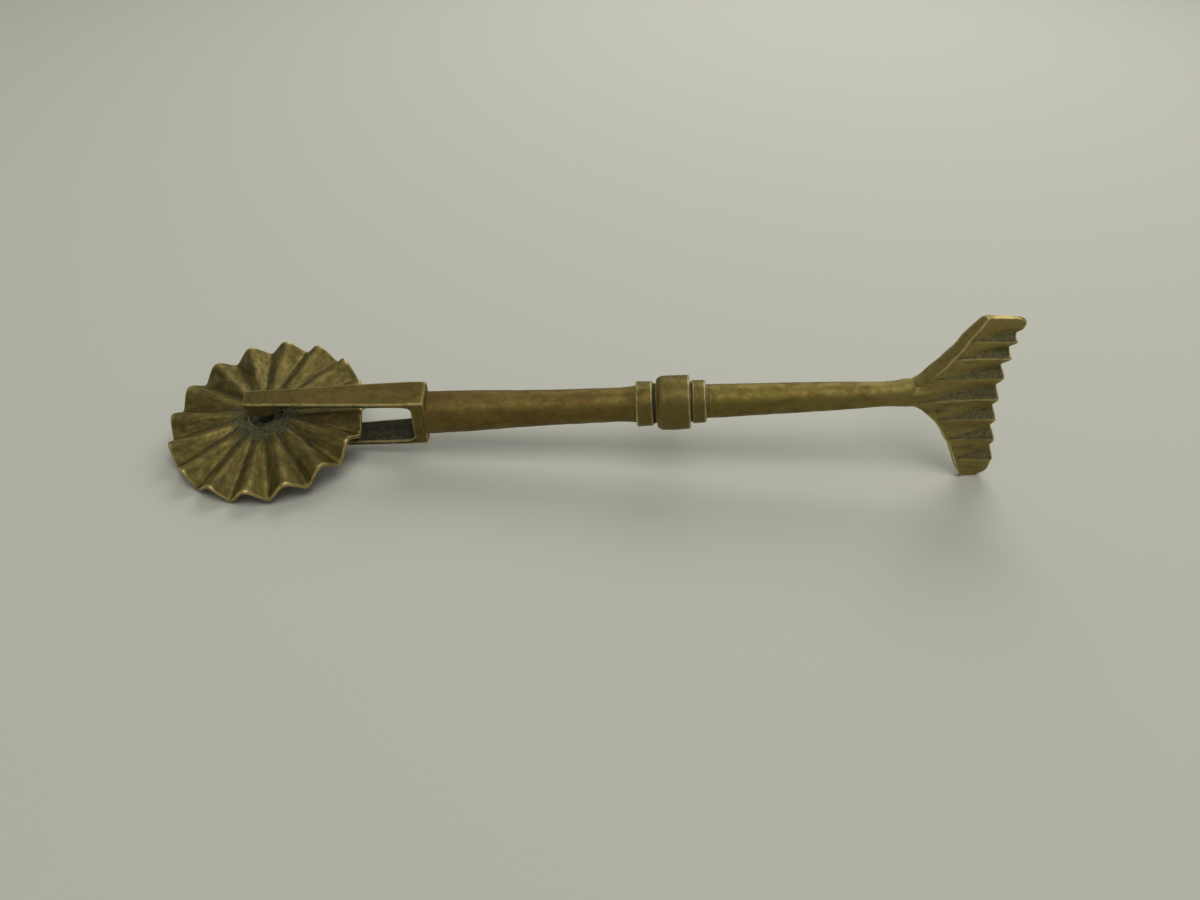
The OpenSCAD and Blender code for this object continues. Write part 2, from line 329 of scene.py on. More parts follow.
def aged_brass(name, tarnish=0.5, brown=0.3, grime_and_shade=0.6, green=0.25, wear=0.6, grain=0.5, lathe=0.0, tool=None,
               streak=0.0, dirt_and_shade_colour=GRIME_AND_SHADE, brass=BRASS, warm=0.0, rear_brass=None):
    """Old brass. tarnish, brown, grime, green and wear say how much of each there is, from 0 to 1, and grime
    also sets how strong the painted shade is. lathe is the strength of turning lines round the handle, tool
    the stretch of file marks, streak the strength of marks along the flow. warm is how brown the front of the
    handle is, fading out past its collar, and rear_brass is what the metal turns to at the handle's rear end."""
    mat, tree, shader = shader_nodes(name)
    n = Nodes(tree)
    loc = n.attribute("loc", "Vector")
    edge, hollow, dirt_and_shade = n.attribute("edge"), n.attribute("hollow"), n.attribute("grime_and_shade")

    cloud = n.noise(loc, 0.16, 5, 0.6)
    patch = n.noise(loc, 0.55, 6, 0.65, 0.4)
    speck = n.noise(loc, 2.6, 5, 0.7)
    pits = n.noise(loc, 7.5, 3, 0.6)
    colour = n.blend(n.ramp(n.math("ADD", cloud, n.math("MULTIPLY", patch, 0.8)), 1.10 - 0.5 * tarnish,
                            1.55 - 0.5 * tarnish), brass, TARNISH)
    drift = n.noise(n.stretch(loc, (0.12, 0.22, 0.22)), 1.0, 5, 0.6)
    along_grain = n.noise(n.stretch(loc, (0.14, 0.55, 0.55)), 1.0, 6, 0.62)
    colour = n.blend(n.ramp(along_grain, 0.48, 0.66, 0, 0.5), colour, TARNISH)
    if warm:
        fading = n.ramp(n.math("ADD", n.part(loc, "X"), n.math("MULTIPLY", drift, 40)), 62, 112, warm, 0)
        browned = n.math("MULTIPLY", fading, n.ramp(along_grain, 0.36, 0.64, 0.4, 1.15))
        colour = n.blend(browned, colour, BROWN)
    if rear_brass:
        colour = n.blend(n.ramp(n.part(loc, "X"), 96, 119, 0, 0.85), colour, rear_brass)
    colour = n.blend(n.ramp(drift, 0.66 - 0.25 * brown, 0.84 - 0.2 * brown, 0, 0.75), colour, BROWN)

    # deep and the mask below carry painted shade as well as dirt: the shade painted into the wheel's mouth,
    # the rivet's shank, the fork's slot and sides, the collar's grooves and the tail's flanks.
    deep = n.math("ADD", n.math("MULTIPLY", hollow, 0.35), dirt_and_shade)
    deep = n.math("MULTIPLY", deep, n.ramp(speck, 0.25, 0.7, 0.6, 1.25))
    specked = n.math("ADD", patch, n.math("MULTIPLY", speck, 0.5))
    film = n.ramp(specked, 0.80 - 0.16 * grime_and_shade, 1.10 - 0.1 * grime_and_shade, 0, 0.5 * grime_and_shade)
    grime_and_shade_mask = n.math("MAXIMUM", n.ramp(deep, 0.12, 0.85, 0, min(1, 0.45 + grime_and_shade)), film)
    crust_patch = n.ramp(n.noise(loc, 1.1, 4, 0.6), 0.42, 0.6, 0, green)
    crust_mask = n.math("MULTIPLY", n.ramp(deep, 0.35, 1.0), crust_patch)

    if streak:
        lines = n.noise(n.attribute("flow", "Vector"), 1.0, 5, 0.65)
        colour = n.blend(n.ramp(lines, 0.44, 0.66, 0, streak), colour, GRIME_AND_SHADE)
        colour = n.blend(n.ramp(lines, 0.50, 0.30, 0, 0.4 * streak), colour, WORN)
    rub = n.ramp(n.noise(loc, 0.8, 4, 0.6), 0.25, 0.65, 0.35, 1.0)
    wear_mask = n.math("MULTIPLY", n.ramp(edge, 0.28, 1.5, 0, wear), rub)
    mottle = n.math("SUBTRACT", n.noise(loc, 1.5, 5, 0.7), n.math("MULTIPLY", hollow, 0.12))
    dirt_and_shade_tone = n.blend(n.ramp(mottle, 0.40, 0.60), GRIME_AND_SHADE, dirt_and_shade_colour)
    colour = n.blend(grime_and_shade_mask, colour, dirt_and_shade_tone)
    colour = n.blend(crust_mask, colour, VERDIGRIS)
    colour = n.blend(wear_mask, colour, WORN)
    colour = n.blend(n.ramp(pits, 0.60, 0.72, 0, 0.35 * grain), colour, GRIME_AND_SHADE)
    n.put(shader.inputs["Base Color"], colour)

    dull = n.lerp(n.ramp(patch, 0.35, 0.65), 0.52, 0.66)
    dull = n.lerp(grime_and_shade_mask, dull, 0.78)
    dull = n.lerp(crust_mask, dull, 0.9)
    dull = n.lerp(wear_mask, dull, 0.33)
    n.put(shader.inputs["Roughness"], dull)
    metal = n.lerp(grime_and_shade_mask, 0.95, 0.5)
    metal = n.lerp(crust_mask, metal, 0.1)
    metal = n.lerp(wear_mask, metal, 1.0)
    n.put(shader.inputs["Metallic"], metal)

    height = n.math("ADD", n.math("MULTIPLY", speck, 0.5 * grain), n.math("MULTIPLY", pits, 0.35 * grain))
    height = n.math("ADD", height, n.math("MULTIPLY", n.noise(loc, 0.9, 3), 0.8))
    if lathe:
        rings = n.noise(n.stretch(loc, (9.0, 0.25, 0.25)), 1.0, 3)
        height = n.math("ADD", height, n.math("MULTIPLY", rings, lathe))
    if tool:
        marks = n.noise(n.stretch(loc, tool), 1.0, 4, 0.6)
        height = n.math("ADD", height, n.math("MULTIPLY", marks, 0.7))
    bump = n.add("ShaderNodeBump")
    bump.inputs["Strength"].default_value = 0.55
    bump.inputs["Distance"].default_value = 0.00012
    n.put(bump.inputs["Height"], height)
    n.put(shader.inputs["Normal"], bump.outputs["Normal"])
    return mat


MATERIALS = {
    "wheel": aged_brass("wheel_brass", tarnish=0.4, brown=0.2, grime_and_shade=0.6, green=0.8, wear=0.9, grain=0.9,
                        streak=0.5, dirt_and_shade_colour=DUST, brass=(0.200, 0.160, 0.046, 1)),
    "rivet": aged_brass("rivet_brass", tarnish=0.6, brown=0.4, grime_and_shade=0.8, wear=0.3),
    "fork": aged_brass("fork_brass", tarnish=0.5, brown=0.75, grime_and_shade=0.6, green=0.4, wear=0.65, grain=0.8,
                       tool=(0.5, 6.0, 6.0), brass=(0.200, 0.150, 0.042, 1)),
    "shaft": aged_brass("shaft_brass", tarnish=0.4, brown=0.6, grime_and_shade=0.35, wear=0.35, grain=0.6, lathe=0.35,
                        brass=(0.206, 0.161, 0.041, 1), warm=0.6, rear_brass=(0.250, 0.201, 0.062, 1)),
    "collar": aged_brass("collar_brass", tarnish=0.4, brown=0.3, grime_and_shade=0.55, wear=0.7, grain=0.6, lathe=0.8,
                         brass=(0.180, 0.140, 0.040, 1)),
    "tail": aged_brass("tail_brass", tarnish=0.2, brown=0.25, grime_and_shade=0.35, green=0.3, wear=0.95, grain=0.9,
                       tool=(0.6, 5.0, 5.0), dirt_and_shade_colour=(0.112, 0.112, 0.068, 1),
                       brass=(0.298, 0.240, 0.078, 1)),
}

# ---------------------------------------------------------------- crimping wheel
WHEEL_R = 18.5
FLUTES = 16
FLUTE_H = 1.55
FLUTE_START = 4.8
FLUTE_TURN = math.radians(-0.5)
RIM_T = 0.9
RIM_ROUND = 0.2
HUB_T = 2.8
BORE_R = 1.35
MOUTH_R = 3.25
MOUTH_DEPTH = 0.9


def flute_wave(u, crest=0.17, valley=0.08):
    """+1 on a crest (u = 0), -1 in a valley (u = 0.5), with each turn rounded by its own amount."""
    d = abs((u + 0.5) % 1 - 0.5)
    if d < crest:
        w = 1 - 2 * crest - 2 * d * d / crest
    elif d > 0.5 - valley:
        w = -1 + 2 * valley + 2 * (0.5 - d) ** 2 / valley
    else:
        w = 1 - 4 * d
    top, low = 1 - 2 * crest, -1 + 2 * valley
    return 2 * (w - low) / (top - low) - 1


def wheel_point(r, a, side, swell=0.0):
    """A point of the wheel. side is -1 to 1 through its thickness, swell a push outwards at the rim."""
    u = (a - FLUTE_TURN) * FLUTES / TAU
    k = round(u)
    grow = clamp01((r - FLUTE_START) / (WHEEL_R - FLUTE_START)) ** 1.05
    height = FLUTE_H * grow * (0.95 + 0.05 * wobble(7.3 * (k % FLUTES), 2.1))
    wave = height * flute_wave(u) * (0.96 + 0.04 * wobble(3 * math.cos(a), 3 * math.sin(a), r * 0.2))
    thick = mix(HUB_T, RIM_T, grow ** 0.8)
    ripple = 0.035 * wobble(r * math.cos(a), r * math.sin(a), side, 0.9) * clamp01((r - MOUTH_R) / 2)
    ragged = wobble(9 * math.cos(a) + 31, 9 * math.sin(a), 0.0, 0.9)
    nick = 0.10 * max(0.0, ragged - 0.25) * ease((r - 16) / 2.5)
    rr = r + swell - nick
    return (rr * math.cos(a), rr * math.sin(a), wave + side * (thick / 2 + ripple))


def build_wheel():
    segments = FLUTES * 26
    mouth = [(BORE_R, MOUTH_DEPTH), (2.3, MOUTH_DEPTH), (2.75, MOUTH_DEPTH - 0.06),
             (2.98, MOUTH_DEPTH - 0.28), (MOUTH_R - 0.17, 0.42), (MOUTH_R - 0.1, 0.2), (MOUTH_R - 0.02, 0.05)]
    half = [(r, HUB_T / 2 - depth) for r, depth in mouth]
    rings = 34
    rim_r = WHEEL_R - RIM_ROUND - 0.02
    radii = [mix(MOUTH_R + 0.12, WHEEL_R - 0.3, k / rings) for k in range(rings + 1)]
    columns = []
    for k in range(segments):
        a = TAU * k / segments
        column = []
        c, s = math.cos(a), math.sin(a)
        for r, z in half:
            column.append((r * c, r * s, z))
        column += [wheel_point(r, a, 1) for r in radii]
        for t in (0.0, 0.25, 0.5, 0.75, 1.0):
            turn = math.pi * t
            column.append(wheel_point(rim_r, a, math.cos(turn) * 0.96, RIM_ROUND * math.sin(turn)))
        column += [wheel_point(r, a, -1) for r in reversed(radii)]
        for r, z in reversed(half):
            column.append((r * c, r * s, -z))
        columns.append(column)
    rows = len(columns[0])
    verts = [p for column in columns for p in column]
    faces = grid_faces(segments, rows, wrap_rows=True, wrap_cols=True)

    def dirt_and_shade(x, y, z):
        r, a = math.hypot(x, y), math.atan2(y, x)
        valley = 0.5 - 0.5 * flute_wave((a - FLUTE_TURN) * FLUTES / TAU) * (1 if z > 0 or r > 12 else -1)
        near_hub = ease((8.2 - r) / 4)
        # The bore's mouth is painted near black: painted shade in the hole, beside the valley dirt and the
        # hub's dust film.
        mouth_shade = ease((MOUTH_R + 0.12 - r) / 0.3)
        return 0.30 * valley ** 2 * ease((WHEEL_R - r) / 9) + 0.72 * near_hub + 1.4 * mouth_shade

    def radial(x, y, z):
        """Marks in the metal run out from the hub."""
        return 0.3 * math.hypot(x, y), 11 * math.atan2(y, x), 0.4 * z

    def near_lip(x, y, z):
        return 0.4 * ease((MOUTH_R + 0.8 - math.hypot(x, y)) / 0.4)

    piece("crimping_wheel", verts, faces, MATERIALS["wheel"], "wheel", ["crimp_wheel"], dirt_and_shade,
          smooth_angle=50, hidden_seam=near_lip, flow=radial)


build_wheel()

# ---------------------------------------------------------------- fork
FORK_BACK = span("fork")[1]
TIP_REACH = -span("fork")[0]
SLOT_END = FORK_BACK - 2.7
FORK_W = span("fork", 1)[1] * 2
TIP_W = 3.6
BACK_H = 11.3
TIP_H = span("fork", 2)[1] * 2
TINE_T = 1.1
LUG_T = 3.6
LUG_BLEND = 7.0
TINE_SLOPE = (TIP_H - BACK_H) / 2 / (FORK_BACK + TIP_REACH)
FORK_EDGE_R = 0.36
BACK_LEAN = 1.3
RIVET_R = 1.3
RIVET_HEAD_R = 1.6
RIVET_SUNK = 0.05


def tine_top(x):
    """The upper tine's outer face, sloping a little from the tip to the back."""
    return TIP_H / 2 - TINE_SLOPE * (x + TIP_REACH)


def tine_under(x):
    """The slot's side of the upper tine: thin, then easing down to the thick lug at the rivet."""
    return mix(TIP_H / 2 - LUG_T, tine_top(x) - TINE_T, ease(x / LUG_BLEND))


def fork_half_width(x):
    """Half the fork's width, growing from the tips to the back."""
    along = (x + TIP_REACH) / (SLOT_END - 2 + TIP_REACH)
    return mix(TIP_W, FORK_W, 0.35 * ease(along) + 0.65 * clamp01(along)) / 2


def back_slant(x, z):
    """The fork's back isn't quite square: its upper corner stands further back."""
    return BACK_LEAN * clamp01(0.5 + z / BACK_H) * ease((x - SLOT_END + 6) / 6)


def fork_lines():
    """The fork's upper half from the side: its outer line and the slot's line, point for point."""
    bend_x, tip_x, middle = SLOT_END - 3.2, -TIP_REACH + 0.9, TIP_H / 2 - LUG_T / 2
    tine = [(mix(bend_x, tip_x, k / 90), 0) for k in range(91)]
    outer = [(FORK_BACK, 0), (FORK_BACK, BACK_H / 2), (bend_x, tine_top(bend_x))]
    outer = spaced(eased(outer, 0.6), 24)
    outer += [(x, tine_top(x)) for x, _ in tine[1:]]
    outer += spaced(eased([outer[-1], (-TIP_REACH, TIP_H / 2), (-TIP_REACH, middle)], 0.6), 9)[1:]
    inner = [(SLOT_END, 0), (SLOT_END, tine_under(SLOT_END) - 0.4),
             (SLOT_END - 1.8, tine_under(SLOT_END - 1.8)), (bend_x, tine_under(bend_x))]
    inner = spaced(eased(inner, 1.0), 24)
    inner += [(x, tine_under(x)) for x, _ in tine[1:]]
    inner += spaced(eased([inner[-1], (-TIP_REACH, TIP_H / 2 - LUG_T), (-TIP_REACH, middle)], 0.7), 9)[1:]
    return outer, inner


def fork_faces(rows, steps):
    """Bands of faces round the fork, and a strip between the outer and the inner line on both sides."""
    n = 4 * steps
    faces = grid_faces(rows, n, wrap_cols=True)
    for start in (0, (rows - 1) * n):
        for i in range(steps):
            upper = (i, i + 1, 2 * steps - i - 1, 2 * steps - i)
            lower = ((4 * steps - i) % n, 4 * steps - i - 1, 2 * steps + i + 1, 2 * steps + i)
            for corners in (upper, lower):
                faces.append(tuple(start + c for c in dict.fromkeys(corners)))
    return faces


def build_fork():
    outer, inner = fork_lines()
    steps = len(outer) - 1
    loop = outer + inner[-2::-1] + [(x, -z) for x, z in inner[1:]] + [(x, -z) for x, z in outer[-2:0:-1]]
    n = len(loop)
    inward = []
    for k in range(n):
        (ax, az), (bx, bz) = loop[k - 1], loop[(k + 1) % n]
        t = Vector((bx - ax, bz - az)).normalized()
        inward.append(Vector((-t.y, t.x)))
    # Across the fork: the side, how far in from its face, and how far in from the outline.
    quarter = [0.5 * math.pi * k / 4 for k in range(5)]
    left = [(-1, 0.0, FORK_EDGE_R + 0.14)]
    for a in reversed(quarter):
        left.append((-1, FORK_EDGE_R * (1 - math.sin(a)), FORK_EDGE_R * (1 - math.cos(a))))
    flats = [(m / 16, None, 0.0) for m in range(1, 16)]
    section = left + flats + [(1, off, inn) for _, off, inn in reversed(left)]
    verts = []
    for side, off, inn in section:
        for k, (x, z) in enumerate(loop):
            half_w = fork_half_width(x)
            if off is None:
                y = mix(-(half_w - FORK_EDGE_R), half_w - FORK_EDGE_R, side)
            else:
                y = side * (half_w - off)
            p = Vector((x, z)) + inward[k] * inn
            hand = 0.055 * wobble(p.x, y, p.y + 9, 0.35) + 0.03 * wobble(p.x, y, p.y, 1.1)
            p = p + inward[k] * (hand + 0.03)
            verts.append((p.x + back_slant(p.x, p.y), y * (0.99 + 0.012 * wobble(x, 5.0, side, 0.3)), p.y))

    def dirt_and_shade(x, y, z):
        # The slot's faces are painted dark, most on the lower tine under the wheel: painted shade.
        slot_shade = ease((tine_top(x) - 0.55 - abs(z)) / 0.3) * (x < SLOT_END + back_slant(x, z) + 0.25)
        ring = 0.75 * math.exp(-((math.hypot(x, y) - RIVET_HEAD_R) / 0.22) ** 2) * (abs(z) > 5.5)
        # The side faces along the tines are painted darker: painted shade.
        on_side = ease((abs(y) - fork_half_width(x) + 0.35) / 0.2)
        side = 0.85 * ease((x - 1) / 5) * ease((SLOT_END - 1 - x) / 3) * on_side
        on_back = ease((x - FORK_BACK - back_slant(x, z) + 0.4) / 0.5)
        at_shaft = 0.5 * on_back * ease((5.2 - math.hypot(y, z)) / 1.2)
        return slot_shade * (0.85 if z < 0 else 0.4) + ring + side + at_shaft

    faces = fork_faces(len(section), steps)
    piece("fork_yoke", verts, faces, MATERIALS["fork"], "handle", ["fork"], dirt_and_shade,
          smooth_angle=40, rounds=1)


build_fork()


# ---------------------------------------------------------------- rivet
def build_rivet():
    top = span("axle_rivet", 2)[1]
    outline = [(0.02, top + 0.06), (0.7, top + 0.055), (1.25, top + 0.03), (RIVET_HEAD_R - 0.05, top - 0.02),
               (RIVET_HEAD_R, top - 0.12), (RIVET_R, top - 0.5), (RIVET_R, top - 3.0)]
    outline = refined(outline, 0.35)
    outline += [(r, -z) for r, z in reversed(outline)]
    segments = 56
    verts = []
    for r, z in outline:
        for k in range(segments):
            a = TAU * k / segments
            dent = 0.05 * wobble(r * math.cos(a), r * math.sin(a), z, 1.1) if abs(z) > top - 0.2 else 0.0
            rr = r * (1 + 0.03 * wobble(math.cos(a), math.sin(a), z, 1.5)) if abs(z) > top - 0.3 else r
            zz = z + math.copysign(dent, z) - math.copysign(RIVET_SUNK, z)
            verts.append((rr * math.cos(a), rr * math.sin(a), zz))
    faces = grid_faces(len(outline), segments, wrap_cols=True)
    faces += [tuple(range(segments)), tuple(range(len(verts) - segments, len(verts)))]

    def dirt_and_shade(x, y, z):
        # The shank below the head is painted dark: painted shade inside the bore.
        return 1.3 * ease((top - 0.8 - abs(z)) / 0.6)

    piece("axle_rivet_peened", verts, faces, MATERIALS["rivet"], "handle", ["axle_rivet"],
          dirt_and_shade)


build_rivet()

# ---------------------------------------------------------------- handle
COLLAR_X = span("collar_front_ring")[0]
BAND_X = span("collar_band")
REAR_RING_X = span("collar_rear_ring")
REAR_X = REAR_RING_X[1]
TAIL_X = span("rear_shaft")[1]
TAIL_TURN = math.radians(78)
SPIGOT_R = 1.75
REAR_SPIGOT_R = 1.8
COLLAR_BORE_R = 2.0
FRONT_END_R = 3.15
REAR_START_R = 3.1
REAR_MID_R = 2.6
REAR_END_R = 2.2
GROOVE_DEPTH = 0.5


def node_radius(node):
    return span(node, 1)[1]


GROOVE_R = node_radius("collar_front_ring") - GROOVE_DEPTH


def build_front_handle():
    start_r = node_radius("front_shaft")
    outline = [(FORK_BACK - 1.5, SPIGOT_R), (FORK_BACK - 0.02, SPIGOT_R),
               (FORK_BACK - 0.02, start_r - 0.05, 0.1), (FORK_BACK + 0.5, start_r, 0.4),
               (FORK_BACK + 9, start_r - 0.14, 6), (FORK_BACK + 22, FRONT_END_R + 0.13, 8),
               (COLLAR_X - 2.4, FRONT_END_R, 1.2),
               (COLLAR_X - 0.25, FRONT_END_R + 0.22, 0.2), (COLLAR_X + 0.02, FRONT_END_R + 0.1),
               (COLLAR_X + 0.02, SPIGOT_R), (COLLAR_X + 1.0, SPIGOT_R)]

    def dirt_and_shade(x, y, z):
        return 0.9 * ease((FORK_BACK + 0.9 - x) / 0.8) + 0.9 * ease((x - COLLAR_X + 0.8) / 0.8)

    turned("front_handle", outline, 0.4, MATERIALS["shaft"], ["front_shaft"], dirt_and_shade,
           rough=0.055)


def build_collar():
    """A ring with a groove behind it, a wide band, and a ring with a groove in front of it."""
    def dirt_and_shade(x, y, z):
        # The grooves by the rings are painted dark: dirt and painted shade.
        return 0.95 * ease((GROOVE_R + 0.35 - math.hypot(y, z)) / 0.4)

    ring_r = node_radius("collar_front_ring")
    outline = [(COLLAR_X - 0.1, COLLAR_BORE_R), (COLLAR_X - 0.1, ring_r - 0.2, 0.15),
               (COLLAR_X + 0.15, ring_r, 0.25), (COLLAR_X + 2.9, ring_r - 0.06, 0.3),
               (COLLAR_X + 3.2, GROOVE_R, 0.2), (BAND_X[0] - 0.02, GROOVE_R, 0.1),
               (BAND_X[0] - 0.02, COLLAR_BORE_R)]
    turned("collar_front_step", outline, 0.25, MATERIALS["collar"], ["collar_front_ring"],
           dirt_and_shade)

    start, end = BAND_X
    band_r = node_radius("collar_band")
    outline = [(start - 0.1, COLLAR_BORE_R), (start - 0.1, band_r - 0.7, 0.2),
               (start + 0.6, band_r - 0.1, 0.5), ((start + end) / 2, band_r, 2.5),
               (end - 0.2, band_r - 0.12, 0.3), (end, band_r - 0.35, 0.15), (end, COLLAR_BORE_R)]
    turned("collar_centre_band", outline, 0.25, MATERIALS["collar"], ["collar_band"], dirt_and_shade)

    start, end = REAR_RING_X
    ring_r = node_radius("collar_rear_ring")
    outline = [(start + 0.02, COLLAR_BORE_R), (start + 0.02, GROOVE_R, 0.1), (start + 0.25, GROOVE_R, 0.1),
               (start + 0.35, ring_r - 0.1, 0.15), (start + 0.6, ring_r, 0.2),
               (end - 0.2, ring_r - 0.05, 0.25), (end, ring_r - 0.25, 0.15), (end, COLLAR_BORE_R)]
    turned("collar_rear_step", outline, 0.22, MATERIALS["collar"], ["collar_rear_ring"], dirt_and_shade)


def build_rear_handle():
    middle = REAR_X + 0.66 * (TAIL_X - REAR_X)
    outline = [(REAR_X - 0.5, REAR_SPIGOT_R), (REAR_X + 0.02, REAR_SPIGOT_R),
               (REAR_X + 0.02, REAR_START_R, 0.1),
               (REAR_X + 2, REAR_START_R - 0.02, 1), (middle, REAR_MID_R, 8),
               (TAIL_X - 4.5, REAR_END_R + 0.02, 3), (TAIL_X - 0.8, REAR_END_R + 0.24, 1.5),
               (TAIL_X + 0.2, REAR_END_R + 0.22, 0.8),
               (TAIL_X + 2.6, REAR_END_R - 0.9), (TAIL_X + 2.6, 0.4)]

    def dirt_and_shade(x, y, z):
        return 0.9 * ease((REAR_X + 0.9 - x) / 0.8)

    def at_tail(x, y, z):
        return ease((x - TAIL_X + 2) / 1.5)

    def towards_far_arm(x, a):
        return 0.45 * max(0.0, math.cos(a - TAIL_TURN)) ** 4 * ease((x - TAIL_X + 4) / 4)

    turned("rear_handle", outline, 0.4, MATERIALS["shaft"], ["rear_shaft"], dirt_and_shade,
           hidden_seam=at_tail, swell=towards_far_arm)


build_front_handle()
build_collar()
build_rear_handle()

# ---------------------------------------------------------------- fishtail crimper
# The plate lies along x and s, which runs from the near tip (-) through the handle to the far tip (+). w is
# out of the plate. TAIL_TURN turns s and w to the tool's y and z.
EDGE_X = 133.8
EDGE_T = 1.1
ROOT_T = 3.4
ROOT_HALF = 2.15
NECK_R = 2.4
FAR_REACH = 16.3
NEAR_REACH = 19.2
FAR_TAB = 13.3
FAR_HOLLOW = 0.011
NEAR_HOLLOW = 0.006
FAR_BEVEL = 0.9
LEAN = 1.1
WAVES = 8
PITCH_FAR = 4.0
PITCH_STEP = 0.13
CREST_1_SHIFT = 0.8
WAVE_SEEN = 1.55
TOOTH = 0.28
TOOTH_2 = 0.5


def crest_s(k):
    """Where crest k is along the edge. The first facet, at the far tip, is a little wider than the rest."""
    return FAR_REACH - k * (PITCH_FAR + PITCH_STEP * k / 2) - (CREST_1_SHIFT if k == 1 else 0.0)


def edge_at(s):
    """The crimping edge: hollow, with a tab at the far tip, rounded corners and teeth at most crests."""
    hollow = EDGE_X + (FAR_HOLLOW if s > 0 else NEAR_HOLLOW) * s * s
    tab = ease((s - FAR_TAB + 0.3) / 0.4)
    hollow = mix(hollow - 0.3 * ease((s - crest_s(1) - 0.2) / 0.9), EDGE_X + 2.8, tab)
    far = 1.5 * clamp01((s - FAR_REACH + 1.4) / 1.4) ** 2
    near = 0.9 * ease((-s - 12) / 6) + 2.2 * clamp01((-s - NEAR_REACH + 3.0) / 3.0) ** 3
    tooth = 0.0
    for k in range(1, WAVES - 1):
        high, low = crest_s(k), crest_s(k + 1)
        if low < s <= high:
            way = (high - s) / (high - low)
            dip = ease(way / 0.4) * (1 - ease((way - 0.35) / 0.65))
            tooth = (TOOTH_2 if k == 2 else TOOTH) * (1 - 2 * dip)
    return hollow - far - near + tooth


def inner_at(s):
    """The plate's inner outline: straight across at the root, then out along both arms."""
    if s > ROOT_HALF:
        return TAIL_X + 11.1 * ((s - ROOT_HALF) / (FAR_REACH - ROOT_HALF)) ** 0.64
    if s < -ROOT_HALF:
        corner = 0.5 * clamp01((-s - NEAR_REACH + 0.9) / 0.9) ** 2
        return TAIL_X + corner + 10.8 * ((-s - ROOT_HALF) / (NEAR_REACH - ROOT_HALF)) ** 0.5
    return TAIL_X


def bevel_at(s):
    """How far the back of the far arm stands out past its front. The bevel rounds off at the far tip."""
    return FAR_BEVEL * ease((s - 1.2) / 1.6) * math.sqrt(clamp01((FAR_REACH - s) / 2.4))


def valley_share(k):
    """How far the valley below crest k is from the next crest, at the edge. The far tip's facet is wide."""
    return 0.42 if k == 0 else 0.5


def tail_column(c, t):
    """Where crossing line c is on the plate: an even one keeps to its crest, an odd one to its valley."""
    k = int(c // 2)
    if c % 2 == 0:
        return crest_s(k)
    if c == 2 * WAVES - 1:
        return -NEAR_REACH
    return mix(crest_s(k + 1), crest_s(k), valley_share(k) * (0.2 + 0.8 * t))


def tail_half(x, s):
    """Half the plate's thickness, round at the root like the shaft that it grows from, and how flat it is."""
    along = clamp01((x - TAIL_X) / (EDGE_X - TAIL_X))
    plate = mix(ROOT_T, EDGE_T, ease(along)) / 2
    neck = NECK_R + 0.02 - 0.4 * along
    rounded = math.sqrt(max(0.0, neck * neck - s * s))
    flatten = ease((x - TAIL_X - 0.4) / 6.5)
    shoulder = plate * mix(0.62, 1, ease((x - TAIL_X) / 5))
    return mix(max(rounded, shoulder), plate, flatten), flatten


def tail_point(line, t, side):
    """A point on the front (side 1) or back (side -1). line is the crossing line, t the way from the inner
    outline to the edge."""
    c = min(int(line), 2 * WAVES - 2)
    f = line - c
    s = mix(tail_column(c, t), tail_column(c + 1, t), f)
    s -= 0.4 * t * ease((-s - NEAR_REACH + 3) / 3)
    x = mix(inner_at(s) - (bevel_at(s) if side < 0 else 0.0), edge_at(s), t)
    along = clamp01((x - TAIL_X) / (EDGE_X - TAIL_X))
    # drop goes from 0 on a crest to 1 in a valley, with both turns rounded.
    phase = f if c % 2 == 0 else 1 - f
    ridge, valley = 0.06, 0.05
    drop = phase if phase > ridge else (phase * phase + ridge * ridge) / (2 * ridge)
    drop = drop if drop < 1 - valley else 1 - ((1 - drop) ** 2 + valley ** 2) / (2 * valley)
    deep = WAVE_SEEN * t ** 0.9 * (0.92 + 0.12 * wobble(c * 3.7, 1.0))
    wave = deep * (0.5 - drop) - 0.12 * ease(t * 8)
    half, flatten = tail_half(x, s)
    inset = x - inner_at(s)
    border = 0.34 * math.exp(-(inset / 0.5) ** 2) * ease((abs(s) - 2.4) / 3) * (side > 0)
    border *= (1 + 0.5 * wobble(s, 4.0, 2.0, 0.6)) * ease((s + NEAR_REACH - 0.2) / 1.6)
    x += 0.22 * wobble(s, 11.0, 3.0, 0.45) * (1 - ease(t * 4)) * ease((abs(s) - 2) / 2)
    hand = 0.03 * wobble(x, s, side, 0.8)
    return x, s, LEAN * along + wave * flatten + side * half + border + hand


def tail_band(line, turn):
    """A point on the rounded band round the inner outline: turn goes from 0 at the front to 1 at the back."""
    c = min(int(line), 2 * WAVES - 2)
    s = mix(tail_column(c, 0), tail_column(c + 1, 0), line - c)
    front, back = tail_point(line, 0, 1), tail_point(line, 0, -1)
    step = 0.05
    slope = Vector((inner_at(s + step) - inner_at(s - step), 2 * step)).normalized()
    out = Vector((-slope.y, slope.x))
    bulge = (0.35 if s > 0 else 0.3) * ease((abs(s) - 0.8) / 2) * math.sin(math.pi * turn)
    bulge *= clamp01((s + NEAR_REACH) / 2.5) if s < 0 else 1.0
    x = mix(front[0], back[0], turn ** 0.8) + out.x * bulge
    return x, s + out.y * bulge, mix(front[2], back[2], turn)


def tail_to_local(x, s, w):
    """From the plate's own axes to the tool's."""
    c, sn = math.cos(TAIL_TURN), math.sin(TAIL_TURN)
    return (x, s * c - w * sn, s * sn + w * c)


